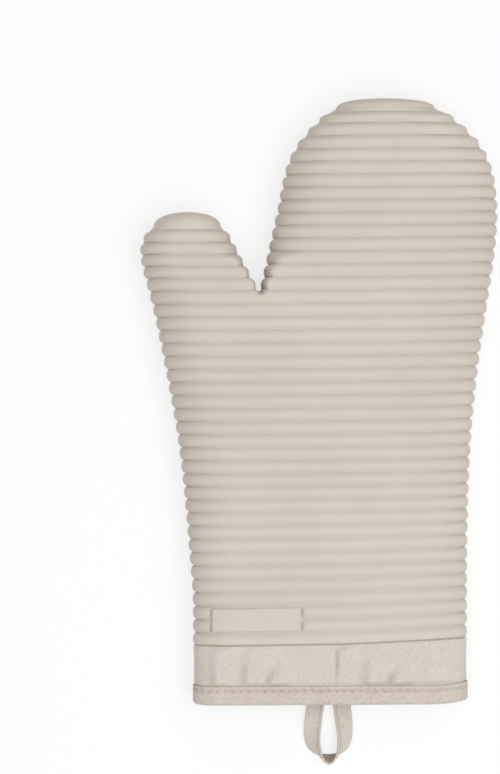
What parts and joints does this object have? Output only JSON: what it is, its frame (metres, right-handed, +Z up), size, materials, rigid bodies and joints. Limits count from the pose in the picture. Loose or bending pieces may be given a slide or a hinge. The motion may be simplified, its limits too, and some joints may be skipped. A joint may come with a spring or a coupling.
{
  "type": "oven mitt",
  "caption": "Ribbed silicone oven mitt with thumb, sewn fabric cuff, wadded lining, bound hem and a hanging loop that swings.",
  "frame": {"origin": "on the table under the middle of the overall length and width", "axes": "+X away from the thumb, +Y from the cuff to the finger tip, +Z up from the table through the palm face"},
  "size_m": [0.194, 0.3632, 0.038],
  "materials": {
    "silicone": "matte",
    "wadding": "matte",
    "lining_cloth": "matte",
    "cuff_cloth": "matte",
    "thread": "matte"
  },
  "bodies": {
    "mitt": {"silicone_shell": "silicone", "wadding_front": "wadding", "wadding_back": "wadding", "lining_front": "lining_cloth", "lining_back": "lining_cloth", "cuff_front": "cuff_cloth", "cuff_back": "cuff_cloth", "hem_binding": "cuff_cloth", "hem_stitching": "thread", "loop_tails": "cuff_cloth", "loop_bar_tacks": "thread"},
    "loop": {"hanging_loop": "cuff_cloth", "loop_edge_stitching": "thread"}
  },
  "joints": [
    {"name": "loop_swing", "type": "hinge", "parent": "mitt", "child": "loop", "pos_m": [0.00505, -0.1494, 0.00508], "axis": [-1, 0, 0], "range_deg": [-90, 60]}
  ]
}
